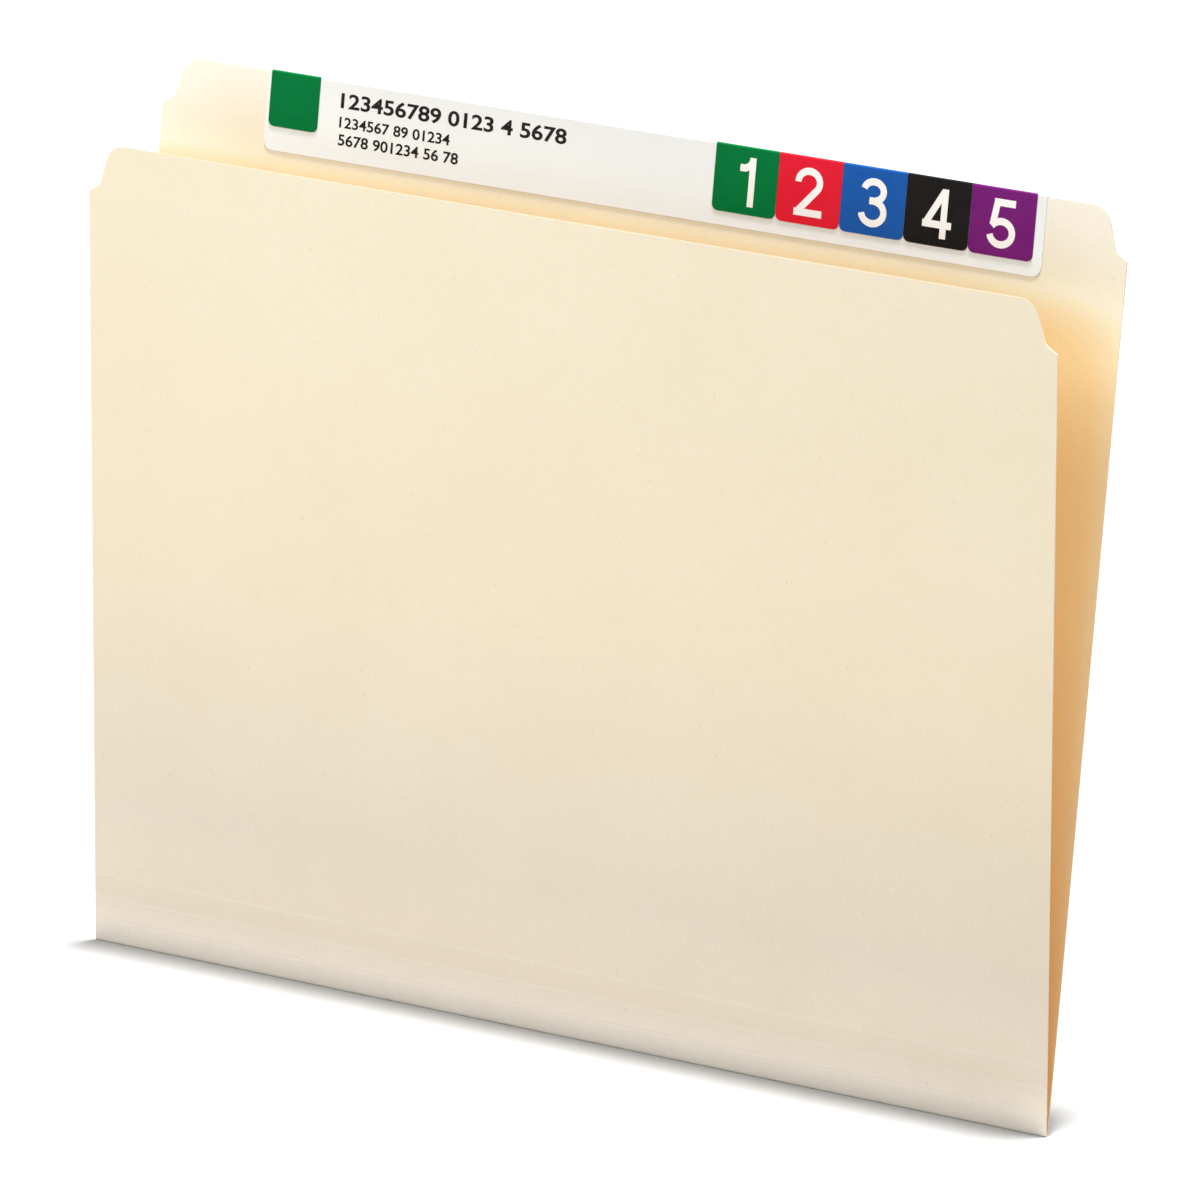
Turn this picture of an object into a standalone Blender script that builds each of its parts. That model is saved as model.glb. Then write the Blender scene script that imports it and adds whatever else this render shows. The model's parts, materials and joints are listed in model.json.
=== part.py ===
"""Letter-size manila file folder with a full-width tab, three expansion scores and a wrap-around label.

The folder stands on its bottom fold, a little open. X runs along the fold, -Y is the front, +Z is up.
The origin lies under the middle of the folder, on the surface that it stands on. Lengths are in metres.
"""

import math

import bmesh
import bpy
from mathutils import Matrix

# Driving dimensions of the card blank
FOLDER_WIDTH = 0.29845
BACK_HEIGHT = 0.2413
FRONT_HEIGHT = 0.22225
CARD_THICKNESS = 0.00028
CLOSED_LEAF_GAP = 0.00035
OPENING_ANGLE = math.radians(8.5)

# Die-cut corner at each end of both leaves, measured from the leaf's upper corner
TAB_DEPTH = 0.0134
SHOULDER_RUN = 0.0036
SHOULDER_RISE = 0.0022
TAB_INSET = 0.0070
TAB_FOOT_RADIUS = 0.0025
TAB_CROWN_RADIUS = 0.0060

# Expansion scores above the bottom fold, on the front side only
SCORE_COUNT = 3
SCORE_SPACING = 0.00635
CREASE_CLEARANCE = 0.00006

# Label strip folded over the tab's top edge
LABEL_START = 0.0334
LABEL_LENGTH = 0.2402
LABEL_DROP = 0.0210
LABEL_THICKNESS = 0.0001
LABEL_CORNER_RADIUS = 0.0030
GLUE_LINE = 0.00005

# Colour stickers folded over the label strip
BLANK_STICKER_MARGIN = 0.0010
BLANK_STICKER_WIDTH = 0.0156
BLANK_STICKER_DROP = 0.0145
NUMBER_STICKER_MARGIN = 0.0028
NUMBER_STICKER_PITCH = 0.0194
NUMBER_STICKER_DROP = 0.0173
NUMBER_STICKER_COLOURS = ("green", "red", "blue", "black", "purple")
STICKER_THICKNESS = 0.0001
STICKER_CORNER_RADIUS = 0.0018
STICKER_GAP = 0.0001

# Fineness of round stretches
FILLET_STEPS = 8
CREASE_SIDES = 16
WRAP_STEPS = 8
CORNER_STEPS = 5

# Colours as they show in daylight, written as sRGB hex values
COLOURS = {
    "manila": "F3E6CB",
    "crease": "EAD9B9",
    "label": "F3F1EE",
    "green": "057C3D",
    "red": "DB2334",
    "blue": "225BA2",
    "black": "221F1F",
    "purple": "7C2F7F",
}

# Sizes that follow from the ones above
LEAF_OFFSET = (CLOSED_LEAF_GAP + CARD_THICKNESS) / 2
FOLD_RADIUS = LEAF_OFFSET + CARD_THICKNESS / 2
FOLD_CLEAR_HEIGHT = math.sqrt((FOLD_RADIUS + CREASE_CLEARANCE) ** 2 - (CLOSED_LEAF_GAP / 2) ** 2)
SCORE_RADIUS = CARD_THICKNESS / 2
SCORE_CLEAR_HEIGHT = SCORE_RADIUS + CREASE_CLEARANCE
LEAF_LEAN = OPENING_ANGLE / 2
LABEL_WRAP_RADIUS = CARD_THICKNESS / 2 + GLUE_LINE
STICKER_WRAP_RADIUS = LABEL_WRAP_RADIUS + LABEL_THICKNESS + GLUE_LINE
TAB_STACK_RADIUS = STICKER_WRAP_RADIUS + STICKER_THICKNESS


def clear_scene():
    for old in list(bpy.data.objects):
        bpy.data.objects.remove(old, do_unlink=True)


def linear_channel(value):
    if value <= 0.04045:
        return value / 12.92
    return ((value + 0.055) / 1.055) ** 2.4


def linear_colour(name):
    text = COLOURS[name]
    channels = [int(text[place:place + 2], 16) / 255 for place in (0, 2, 4)]
    return tuple(linear_channel(channel) for channel in channels) + (1.0,)


def plain_material(name, colour, roughness):
    material = bpy.data.materials.new(name)
    material.use_nodes = True
    shader = material.node_tree.nodes["Principled BSDF"]
    shader.inputs["Base Color"].default_value = linear_colour(colour)
    shader.inputs["Roughness"].default_value = roughness
    shader.inputs["Metallic"].default_value = 0.0
    material.diffuse_color = linear_colour(colour)
    return material


def manila_card():
    return plain_material("manila_card", "manila", 0.85)


def creased_card():
    return plain_material("creased_card", "crease", 0.9)


def label_paper():
    return plain_material("label_paper", "label", 0.6)


def sticker_film(colour):
    return plain_material("sticker_" + colour, colour, 0.35)


def axis_empty(name, parts, parent=None, location=(0, 0, 0), turn_x=0.0):
    empty = bpy.data.objects.new(name, None)
    parts.objects.link(empty)
    empty.parent = parent
    empty.location = location
    empty.rotation_euler = (turn_x, 0, 0)
    return empty


def add_piece(name, data, parts, parent, material, location=(0, 0, 0), rotation=(0, 0, 0)):
    piece = bpy.data.objects.new(name, data)
    parts.objects.link(piece)
    piece.parent = parent
    piece.location = location
    piece.rotation_euler = rotation
    data.materials.append(material)
    return piece


def fillet_points(before, corner, after, radius):
    """Points of the arc that rounds the corner between two straight edges."""
    to_before = math.atan2(before[1] - corner[1], before[0] - corner[0])
    to_after = math.atan2(after[1] - corner[1], after[0] - corner[0])
    opening = (to_after - to_before + math.pi) % (2 * math.pi) - math.pi
    reach = radius / math.sin(abs(opening) / 2)
    middle = to_before + opening / 2
    centre = (corner[0] + reach * math.cos(middle), corner[1] + reach * math.sin(middle))
    turn = math.pi - abs(opening)
    first = middle + math.pi + math.copysign(turn / 2, opening)
    points = []
    for step in range(FILLET_STEPS + 1):
        angle = first - math.copysign(turn, opening) * step / FILLET_STEPS
        points.append((centre[0] + radius * math.cos(angle), centre[1] + radius * math.sin(angle)))
    return points


def leaf_outline(bottom, top):
    """Outline of a leaf from its lowest edge to its tab, with the die-cut corner on both sides."""
    side = FOLDER_WIDTH / 2
    shoulder = (side, top - TAB_DEPTH)
    foot = (side - SHOULDER_RUN, top - TAB_DEPTH + SHOULDER_RISE)
    crown = (side - TAB_INSET, top)
    tab_middle = (0.0, top)
    right = [(side, bottom), shoulder]
    right += fillet_points(shoulder, foot, crown, TAB_FOOT_RADIUS)
    right += fillet_points(foot, crown, tab_middle, TAB_CROWN_RADIUS)
    left = [(-x, height) for x, height in reversed(right)]
    return right + left


def flat_sheet_curve(name, outline, thickness):
    curve = bpy.data.curves.new(name, "CURVE")
    curve.dimensions = "2D"
    curve.fill_mode = "BOTH"
    curve.extrude = thickness / 2
    spline = curve.splines.new("POLY")
    spline.points.add(len(outline) - 1)
    for point, (x, height) in zip(spline.points, outline):
        point.co = (x, height, 0.0, 1.0)
    spline.use_cyclic_u = True
    return curve


def card_leaf(name, parts, axis, side, bottom, top, material):
    """A flat leaf of card that stands up from its axis, on the front (-1) or back (+1) side of it."""
    curve = flat_sheet_curve(name, leaf_outline(bottom, top), CARD_THICKNESS)
    stand_up = (math.pi / 2, 0, 0)
    return add_piece(name, curve, parts, axis, material, (0, side, 0), stand_up)


def card_strip(name, parts, axis, offset, bottom, top, material):
    """One narrow strip of the front side, between two creases."""
    mesh = bpy.data.meshes.new(name)
    form = bmesh.new()
    size = Matrix.Diagonal((FOLDER_WIDTH, CARD_THICKNESS, top - bottom, 1))
    bmesh.ops.create_cube(form, size=1.0, matrix=Matrix.Translation((0, 0, (top + bottom) / 2)) @ size)
    form.to_mesh(mesh)
    form.free()
    return add_piece(name, mesh, parts, axis, material, (0, offset, 0))


def crease_bead(name, parts, axis, radius, material):
    """The rounded line of card that bends, one bead along the whole crease."""
    mesh = bpy.data.meshes.new(name)
    form = bmesh.new()
    lay_along_x = Matrix.Rotation(math.pi / 2, 4, "Y")
    bmesh.ops.create_cone(
        form,
        cap_ends=True,
        segments=CREASE_SIDES,
        radius1=radius,
        radius2=radius,
        depth=FOLDER_WIDTH,
        matrix=lay_along_x,
    )
    form.to_mesh(mesh)
    form.free()
    mesh.shade_smooth()
    mesh.set_sharp_from_angle(angle=math.radians(40))
    return add_piece(name, mesh, parts, axis, material)


def wrap_rows(drop, radius, corner_radius):
    """Rows of a sheet folded over an edge: how far each is drawn in, and its depth and height."""
    flap = []
    for step in range(CORNER_STEPS + 1):
        from_end = corner_radius * (1 - math.cos(math.pi / 2 * step / CORNER_STEPS))
        drawn_in = corner_radius * (1 - math.sin(math.pi / 2 * step / CORNER_STEPS))
        flap.append((drawn_in, from_end - drop))
    front = [(drawn_in, -radius, height) for drawn_in, height in flap]
    fold = []
    for step in range(WRAP_STEPS + 1):
        angle = math.pi * (1 - step / WRAP_STEPS)
        fold.append((0.0, radius * math.cos(angle), radius * math.sin(angle)))
    back = [(drawn_in, radius, height) for drawn_in, height in reversed(flap)]
    return front + fold + back


def wrapped_label(name, parts, tab_edge, start, length, drop, radius, thickness, corner_radius, material):
    """A strip stuck to both faces of the tab and folded over its top edge."""
    rows = wrap_rows(drop, radius, corner_radius)
    mesh = bpy.data.meshes.new(name)
    form = bmesh.new()
    bmesh.ops.create_grid(form, x_segments=1, y_segments=len(rows) - 1, size=1.0)
    pairs = sorted(form.verts, key=lambda vert: (round(vert.co.y, 6), vert.co.x))
    for number, (drawn_in, depth, height) in enumerate(rows):
        left, right = pairs[2 * number], pairs[2 * number + 1]
        left.co = (start + drawn_in, depth, height)
        right.co = (start + length - drawn_in, depth, height)
    bmesh.ops.recalc_face_normals(form, faces=form.faces)
    form.to_mesh(mesh)
    form.free()
    piece = add_piece(name, mesh, parts, tab_edge, material)
    paper = piece.modifiers.new("paper", "SOLIDIFY")
    paper.thickness = thickness
    paper.offset = 1.0
    paper.use_even_offset = True
    return piece


def fold_location():
    """Where the fold lies, so that the origin is under the middle of the open folder."""
    lean = math.sin(LEAF_LEAN)
    front_reach = (FRONT_HEIGHT - FOLD_RADIUS) * lean + FOLD_RADIUS * math.cos(LEAF_LEAN)
    back_reach = (BACK_HEIGHT - FOLD_RADIUS) * lean + LEAF_OFFSET * math.cos(LEAF_LEAN) + TAB_STACK_RADIUS
    return (0.0, (front_reach - back_reach) / 2, FOLD_RADIUS)


def build_back_leaf(parts, fold_line, card):
    back_axis = axis_empty("back_axis", parts, fold_line, turn_x=-LEAF_LEAN)
    top = BACK_HEIGHT - FOLD_RADIUS
    card_leaf("back_panel", parts, back_axis, LEAF_OFFSET, FOLD_CLEAR_HEIGHT, top, card)
    return axis_empty("tab_edge", parts, back_axis, (0, LEAF_OFFSET, top))


def build_front_leaf(parts, fold_line, card, crease):
    """Strips and panel of the front side, each hung on the score below it."""
    axis = axis_empty("front_axis", parts, fold_line, turn_x=LEAF_LEAN)
    offset = -LEAF_OFFSET
    bottom = FOLD_CLEAR_HEIGHT
    to_next_score = SCORE_SPACING - FOLD_RADIUS
    for number in range(1, SCORE_COUNT + 1):
        top = to_next_score - SCORE_CLEAR_HEIGHT
        card_strip(f"score_strip_{number}", parts, axis, offset, bottom, top, card)
        axis = axis_empty(f"score_axis_{number}", parts, axis, (0, offset, to_next_score))
        crease_bead(f"score_crease_{number}", parts, axis, SCORE_RADIUS, crease)
        offset = 0.0
        bottom = SCORE_CLEAR_HEIGHT
        to_next_score = SCORE_SPACING
    top = FRONT_HEIGHT - SCORE_COUNT * SCORE_SPACING
    card_leaf("front_panel", parts, axis, offset, bottom, top, card)


def build_label(parts, tab_edge):
    label_left = LABEL_START - FOLDER_WIDTH / 2
    wrapped_label("label_strip", parts, tab_edge, label_left, LABEL_LENGTH, LABEL_DROP,
                  LABEL_WRAP_RADIUS, LABEL_THICKNESS, LABEL_CORNER_RADIUS, label_paper())
    return label_left


def build_stickers(parts, tab_edge, label_left):
    sticker = {
        "drop": BLANK_STICKER_DROP,
        "radius": STICKER_WRAP_RADIUS,
        "thickness": STICKER_THICKNESS,
        "corner_radius": STICKER_CORNER_RADIUS,
    }
    wrapped_label("blank_sticker", parts, tab_edge, label_left + BLANK_STICKER_MARGIN,
                  BLANK_STICKER_WIDTH, material=sticker_film("green"), **sticker)
    sticker["drop"] = NUMBER_STICKER_DROP
    run_length = len(NUMBER_STICKER_COLOURS) * NUMBER_STICKER_PITCH
    run_left = label_left + LABEL_LENGTH - NUMBER_STICKER_MARGIN - run_length
    for number, colour in enumerate(NUMBER_STICKER_COLOURS):
        left = run_left + number * NUMBER_STICKER_PITCH + STICKER_GAP / 2
        wrapped_label(f"number_sticker_{number + 1}", parts, tab_edge, left,
                      NUMBER_STICKER_PITCH - STICKER_GAP, material=sticker_film(colour), **sticker)


def build_folder():
    clear_scene()
    parts = bpy.data.collections.new("file_folder")
    bpy.context.scene.collection.children.link(parts)
    card = manila_card()
    crease = creased_card()
    fold_line = axis_empty("fold_line", parts, location=fold_location())
    crease_bead("bottom_crease", parts, fold_line, FOLD_RADIUS, crease)
    tab_edge = build_back_leaf(parts, fold_line, card)
    build_front_leaf(parts, fold_line, card, crease)
    label_left = build_label(parts, tab_edge)
    build_stickers(parts, tab_edge, label_left)


build_folder()
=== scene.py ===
import json
import math

import bmesh
import bpy
from mathutils import Matrix, Vector


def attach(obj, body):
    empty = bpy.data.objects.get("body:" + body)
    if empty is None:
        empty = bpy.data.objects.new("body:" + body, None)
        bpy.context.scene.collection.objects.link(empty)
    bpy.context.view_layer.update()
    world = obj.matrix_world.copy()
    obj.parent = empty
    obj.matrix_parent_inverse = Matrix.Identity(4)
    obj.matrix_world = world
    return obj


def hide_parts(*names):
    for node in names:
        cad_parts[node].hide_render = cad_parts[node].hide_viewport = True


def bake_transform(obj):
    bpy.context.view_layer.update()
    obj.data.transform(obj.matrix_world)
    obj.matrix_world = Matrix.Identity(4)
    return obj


print("folder: loading the frame")
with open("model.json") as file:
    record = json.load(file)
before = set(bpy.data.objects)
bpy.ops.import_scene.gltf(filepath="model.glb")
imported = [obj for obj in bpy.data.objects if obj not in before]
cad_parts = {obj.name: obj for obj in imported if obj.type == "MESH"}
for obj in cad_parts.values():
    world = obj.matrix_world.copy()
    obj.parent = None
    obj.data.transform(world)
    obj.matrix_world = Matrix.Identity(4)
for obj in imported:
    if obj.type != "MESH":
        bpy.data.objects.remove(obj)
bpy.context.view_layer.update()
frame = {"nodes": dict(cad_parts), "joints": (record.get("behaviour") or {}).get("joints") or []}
cadNodes = frame["nodes"]
joints = {joint["name"]: joint for joint in frame["joints"]}
bpy.context.scene.view_settings.view_transform = "Standard"


# A value on its way through a node tree. Python's operators add the Math nodes.
class Wire:
    def __init__(self, bench, socket):
        self.bench = bench
        self.socket = socket

    def maths(self, operation, *values):
        return self.bench.node("ShaderNodeMath", {"operation": operation}, dict(enumerate(values)))

    def __add__(self, other):
        return self.maths("ADD", self, other)

    def __radd__(self, other):
        return self.maths("ADD", other, self)

    def __sub__(self, other):
        return self.maths("SUBTRACT", self, other)

    def __rsub__(self, other):
        return self.maths("SUBTRACT", other, self)

    def __mul__(self, other):
        return self.maths("MULTIPLY", self, other)

    def __rmul__(self, other):
        return self.maths("MULTIPLY", other, self)

    def __truediv__(self, other):
        return self.maths("DIVIDE", self, other)

    def __lt__(self, other):
        return self.maths("LESS_THAN", self, other)

    def __abs__(self):
        return self.maths("ABSOLUTE", self)

    def atLeast(self, other):
        return self.maths("MAXIMUM", self, other)

    def atMost(self, other):
        return self.maths("MINIMUM", self, other)

    def sign(self):
        return self.maths("SIGN", self)

    def sine(self):
        return self.maths("SINE", self)

    def cosine(self):
        return self.maths("COSINE", self)

    def root(self):
        return self.maths("SQRT", self)


# A node tree being built: node() makes any node, its settings first and then its sockets
class Bench:
    def __init__(self, tree):
        self.tree = tree

    def node(self, kind, settings=None, sockets=None, out=0):
        made = self.tree.nodes.new(kind)
        made.location = (190 * len(self.tree.nodes), 0)
        for name, value in (settings or {}).items():
            if name == "stops":
                self.setStops(made.color_ramp, value)
            else:
                setattr(made, name, value)
        for name, value in (sockets or {}).items():
            if isinstance(value, Wire):
                self.tree.links.new(value.socket, made.inputs[name])
            else:
                made.inputs[name].default_value = value
        return Wire(self, made.outputs[out]) if made.outputs else None

    def setStops(self, ramp, stops):
        while len(ramp.elements) < len(stops):
            ramp.elements.new(1.0)
        for element, (place, colour) in zip(ramp.elements, stops):
            element.position = place
            element.color = colour

    def axis(self, vector, name):
        return self.node("ShaderNodeSeparateXYZ", None, {"Vector": vector}, out=name)

    def vector(self, **parts):
        return self.node("ShaderNodeCombineXYZ", None, parts)

    def stretched(self, vector, across, deep, up):
        settings = {"operation": "MULTIPLY"}
        return self.node("ShaderNodeVectorMath", settings, {0: vector, 1: (across, deep, up)})

    def mixColours(self, share, first, second):
        settings = {"data_type": "RGBA", "clamp_factor": True}
        return self.node("ShaderNodeMix", settings, {0: share, 6: first, 7: second}, out=2)

    # Colours along a ramp, from (level, colour) pairs
    def tones(self, pairs, level):
        stops = [(place, linearColour(tone)) for place, tone in pairs]
        return self.node("ShaderNodeValToRGB", {"stops": stops}, {"Fac": level}, out="Color")

    # A noise whose features have a size in metres, the same all round or one for each axis
    def noise(self, place, size, detail, roughness=0.55):
        sizes = size if isinstance(size, tuple) else (size, size, size)
        scaled = self.stretched(place, *(1 / each for each in sizes))
        sockets = {"Vector": scaled, "Scale": 1.0, "Detail": detail, "Roughness": roughness}
        return self.node("ShaderNodeTexNoise", None, sockets)

    # Small flecks; the cells are drawn out through the sheet, so that its face cuts enough of them
    def flecks(self, place, pitch, radius, share, length=1.0):
        cells = self.stretched(place, 1 / pitch, throughSheet / pitch, 1 / (pitch * length))
        settings = {"feature": "F1", "voronoi_dimensions": "3D"}
        distance = self.node("ShaderNodeTexVoronoi", settings, {"Vector": cells, "Scale": 1.0}, out="Distance")
        tint = self.node("ShaderNodeTexVoronoi", settings, {"Vector": cells, "Scale": 1.0}, out="Color")
        chosen = self.node("ShaderNodeSeparateColor", None, {"Color": tint}, out=0) < share
        return (distance < radius / pitch) * chosen


def linearColour(hexText):
    channels = [int(hexText[place:place + 2], 16) / 255 for place in (0, 2, 4)]
    return tuple(c / 12.92 if c <= 0.04045 else ((c + 0.055) / 1.055) ** 2.4 for c in channels) + (1.0,)


plainWhite = (1.0, 1.0, 1.0, 1.0)
plainBlack = (0.0, 0.0, 0.0, 1.0)
throughSheet = 0.15  # the cells of the flecks are 1 / this times as deep through the sheet as they are wide
noiseMiddle = 0.5    # a noise wanders about this value


def startMaterial(name, specular):
    material = bpy.data.materials.new(name)
    material.use_nodes = True
    tree = material.node_tree
    tree.nodes.clear()
    bench = Bench(tree)
    surface = bench.node("ShaderNodeBsdfPrincipled", None, {"Specular IOR Level": specular, "Metallic": 0.0})
    bench.node("ShaderNodeOutputMaterial", None, {"Surface": surface})
    place = bench.node("ShaderNodeTexCoord", out="Object")
    return material, bench, surface.socket.node, place


def finishSurface(bench, shader, colour, roughness, bump=None):
    wires = {"Base Color": colour, "Roughness": roughness}
    if bump:
        wires["Normal"] = bench.node("ShaderNodeBump", None, bump)
    for name, wire in wires.items():
        bench.tree.links.new(wire.socket, shader.inputs[name])


# The card: cream pulp with soft clouds, fibres along the leaf, and a few pale and dark flecks

cardLook = {
    # painted shade: greyer low down; painted light: pale just above the fold
    "outerShadedTones": (
        (0.0, "FFF8EA"), (0.024, "FFF4E4"), (0.055, "ECDFCB"), (0.16, "E4D8C5"), (0.45, "F0E2C7"), (0.9, "F2E7CC"),
    ),
    "toneSpan": 0.25,
    "paleCloud": "FCF3E0",
    "lightFibre": "FBF3E2",
    "darkFibre": "DDC9A2",
    "lightFleck": "FFFBF2",
    "darkFleck": "9C8157",
    "pressedOutside": (0.12, "FFF9EC"),
    "pressedInside": (0.02, "DDC9A2"),
    "clouds": {"size": 0.055, "detail": 3},
    "formation": {"size": 0.0042, "detail": 4, "roughness": 0.6},
    "fibres": {"size": (0.00032, 0.00032, 0.0022), "detail": 5, "roughness": 0.65},
    "tooth": {"size": 0.00045, "detail": 3, "roughness": 0.6},
    "lightFlecks": {"pitch": 0.0023, "radius": 0.00016, "share": 0.55, "length": 2.4},
    "darkFlecks": {"pitch": 0.0032, "radius": 0.00014, "share": 0.8, "length": 2.4},
    "paleCloudShare": 0.5,
    "darkCloudShare": 0.35,
    "formationShare": 0.28,
    "darkFibreFrom": 0.57,
    "darkFibreShare": 1.5,
    "lightFibreFrom": 0.43,
    "lightFibreShare": 2.2,
    "lightFleckShare": 0.4,
    "darkFleckShare": 0.3,
    "roughness": 0.88,
    "roughnessSpread": 0.12,
    "toothInBump": 0.6,
    "fibresInBump": 0.4,
    "bumpStrength": 0.5,
    "toothHeight": 0.000012,
}

# Painted light and painted shade for the inner faces, set by height and by distance from the right rim
paintedInsideLight = {
    "tones": (
        (0.0, "F9D28D"), (0.24, "F5D79F"), (0.32, "F8E4B8"), (0.375, "FAF0CE"),
        (0.43, "FCF6DE"), (0.62, "F6EFDB"), (1.0, "F4EFE3"),
    ),
    "halfWidth": 0.1492,
    "gapPerHeight": 0.149,
    "leastSquare": 1e-9,
    "sideShare": 0.3,
    "frontTop": 0.2212,
    "topGap": 0.020,
    "topShareBack": 0.5,
    "topShareFront": 0.7,
    "foldShadeTone": "DFAA6C",
    "deepBelow": 0.13,
    "deepShare": 0.7,
}


def tonesUpTheCard(bench, place, pairs):
    return bench.tones(pairs, bench.axis(place, "Z") / cardLook["toneSpan"])


# Outside, the card is painted greyer low down, a painted shade where less light falls, and painted pale just above the
# fold, a painted light against the shade there
def outerShadedTone(bench, place):
    return tonesUpTheCard(bench, place, cardLook["outerShadedTones"])


# Inside, the card is painted paler where light reaches in, over the front leaf's top edge and from the right: a painted
# light.
# Away from it, between the leaves and deep in the fold, it is painted darker and warmer: a painted shade.
def innerPaintedLight(bench, place, topShare):
    look = paintedInsideLight
    height = bench.axis(place, "Z")
    inFromRim = look["halfWidth"] - bench.axis(place, "X")
    gap = height * look["gapPerHeight"]
    sideLight = 1 - inFromRim / (inFromRim * inFromRim + gap * gap + look["leastSquare"]).root()
    downFromTop = look["frontTop"] - height
    topLight = 1 - downFromTop / (downFromTop * downFromTop + look["topGap"] ** 2).root()
    fromSide, fromTop = sideLight * look["sideShare"], topLight * topShare
    paintedLightLevel = (fromSide * fromSide + fromTop * fromTop).root()
    paintedFoldShade = (1 - height / look["deepBelow"]) * look["deepShare"]
    return bench.mixColours(paintedFoldShade, bench.tones(look["tones"], paintedLightLevel), linearColour(look["foldShadeTone"]))


def backInnerPaintedLight(bench, place):
    return innerPaintedLight(bench, place, paintedInsideLight["topShareBack"])


def frontInnerPaintedLight(bench, place):
    return innerPaintedLight(bench, place, paintedInsideLight["topShareFront"])


# toneOver() gives the ground colour; pressed is (share, tone) where the card was creased
def makeCardMaterial(name, toneOver, pressed=None):
    look = cardLook
    material, bench, shader, place = startMaterial(name, specular=0.05)
    clouds = bench.noise(place, **look["clouds"])
    formation = bench.noise(place, **look["formation"])
    fibres = bench.noise(place, **look["fibres"])
    tooth = bench.noise(place, **look["tooth"])
    lightFlecks = bench.flecks(place, **look["lightFlecks"])
    darkFlecks = bench.flecks(place, **look["darkFlecks"])
    layers = [
        ((clouds - noiseMiddle) * look["paleCloudShare"], "paleCloud"),
        ((noiseMiddle - clouds) * look["darkCloudShare"], "darkFibre"),
        ((formation - noiseMiddle) * look["formationShare"], "darkFibre"),
        ((fibres - look["darkFibreFrom"]) * look["darkFibreShare"], "darkFibre"),
        ((look["lightFibreFrom"] - fibres) * look["lightFibreShare"], "lightFibre"),
        (lightFlecks * look["lightFleckShare"], "lightFleck"),
        (darkFlecks * look["darkFleckShare"], "darkFleck"),
    ]
    colour = toneOver(bench, place)
    for share, tone in layers:
        colour = bench.mixColours(share, colour, linearColour(look[tone]))
    if pressed:
        share, tone = pressed
        colour = bench.mixColours(share, colour, linearColour(tone))
    roughness = look["roughness"] + (formation - noiseMiddle) * look["roughnessSpread"]
    height = tooth * look["toothInBump"] + fibres * look["fibresInBump"]
    bump = {"Strength": look["bumpStrength"], "Distance": look["toothHeight"], "Height": height}
    finishSurface(bench, shader, colour, roughness, bump)
    return material


# Where the die went through, the card shows its layers. The cut edges are painted pale, partly the card's pale inside
# and partly a painted highlight; the top edges are painted dark, a painted shade against the light from above that
# catches them.

edgeLook = {
    # pale: partly a painted highlight on the cut edges; dark, at the top: a painted shade
    "tones": ((0.85, "FBF4E4"), (0.88, "A39676")),
    "layerTone": "B5A582",
    "layers": {"size": (1 / 180, 1 / 9000, 1 / 180), "detail": 2},
    "layersFrom": 0.4,
    "layerShare": 0.8,
    "burr": {"size": 1 / 2500, "detail": 3},
    "burrShare": 0.25,
    "roughness": 0.9,
    "roughnessSpread": 0.08,
    "bumpStrength": 0.6,
    "burrHeight": 0.00002,
}


def makeCutEdgeMaterial(name):
    look = edgeLook
    material, bench, shader, place = startMaterial(name, specular=0.08)
    layers = bench.noise(place, **look["layers"])
    burr = bench.noise(place, **look["burr"])
    layered = (layers - look["layersFrom"]) * look["layerShare"]
    colour = bench.mixColours(layered, tonesUpTheCard(bench, place, look["tones"]), linearColour(look["layerTone"]))
    colour = bench.mixColours(burr * look["burrShare"], colour, linearColour(cardLook["lightFleck"]))
    bump = {"Strength": look["bumpStrength"], "Distance": look["burrHeight"], "Height": burr}
    finishSurface(bench, shader, colour, look["roughness"] + burr * look["roughnessSpread"], bump)
    return material


# The label is painted a little greyer towards the tab's top edge, a painted shade that tones down the light falling
# there

labelLook = {
    "white": "F7FEFF",
    "shadeWhite": "F1F8FC",
    # painted shade towards the tab's top edge
    "paintedTopShadeWhite": "DEDDDA",
    "paintedTopShadeFrom": 0.227,
    "paintedTopShadeDepth": 0.013,
    "paintedTopShadeLeast": 0.7,
    "paintedTopShadeSpread": 0.6,
    "paintedTopShadeShare": 0.5,
    "clouds": {"size": 1 / 28, "detail": 3},
    "cloudsFrom": 0.3,
    "cloudShare": 0.6,
    "fibres": {"size": 0.0011, "detail": 5, "roughness": 0.62},
    "fibreShare": 0.5,
    "roughness": 0.55,
    "roughnessSpread": 0.2,
    "bumpStrength": 0.35,
    "fibreHeight": 0.000008,
}


def makeLabelMaterial(name):
    look = labelLook
    material, bench, shader, place = startMaterial(name, specular=0.15)
    clouds = bench.noise(place, **look["clouds"])
    fibres = bench.noise(place, **look["fibres"])
    cloudy = (clouds - look["cloudsFrom"]) * look["cloudShare"]
    fibrous = (fibres - noiseMiddle) * look["fibreShare"]
    colour = bench.mixColours(cloudy, linearColour(look["white"]), linearColour(look["shadeWhite"]))
    colour = bench.mixColours(fibrous, colour, linearColour(look["shadeWhite"]))
    towardsTop = (bench.axis(place, "Z") - look["paintedTopShadeFrom"]) / look["paintedTopShadeDepth"]
    paintedTopShade = towardsTop * (look["paintedTopShadeLeast"] + clouds * look["paintedTopShadeSpread"])
    colour = bench.mixColours(paintedTopShade * look["paintedTopShadeShare"], colour, linearColour(look["paintedTopShadeWhite"]))
    roughness = look["roughness"] + (fibres - noiseMiddle) * look["roughnessSpread"]
    bump = {"Strength": look["bumpStrength"], "Distance": look["fibreHeight"], "Height": fibres}
    finishSurface(bench, shader, colour, roughness, bump)
    return material


# The stickers' printed colours, full and thin: a fine screen of pin-holes and slow changes in the ink's weight

stickerColours = {
    "green": ("007439", "017D3F"),
    "red": ("E11C33", "E52B3F"),
    "blue": ("1B58AC", "2562B3"),
    "black": ("1C1A1A", "262424"),
    "purple": ("721C74", "7D277E"),
}

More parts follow.
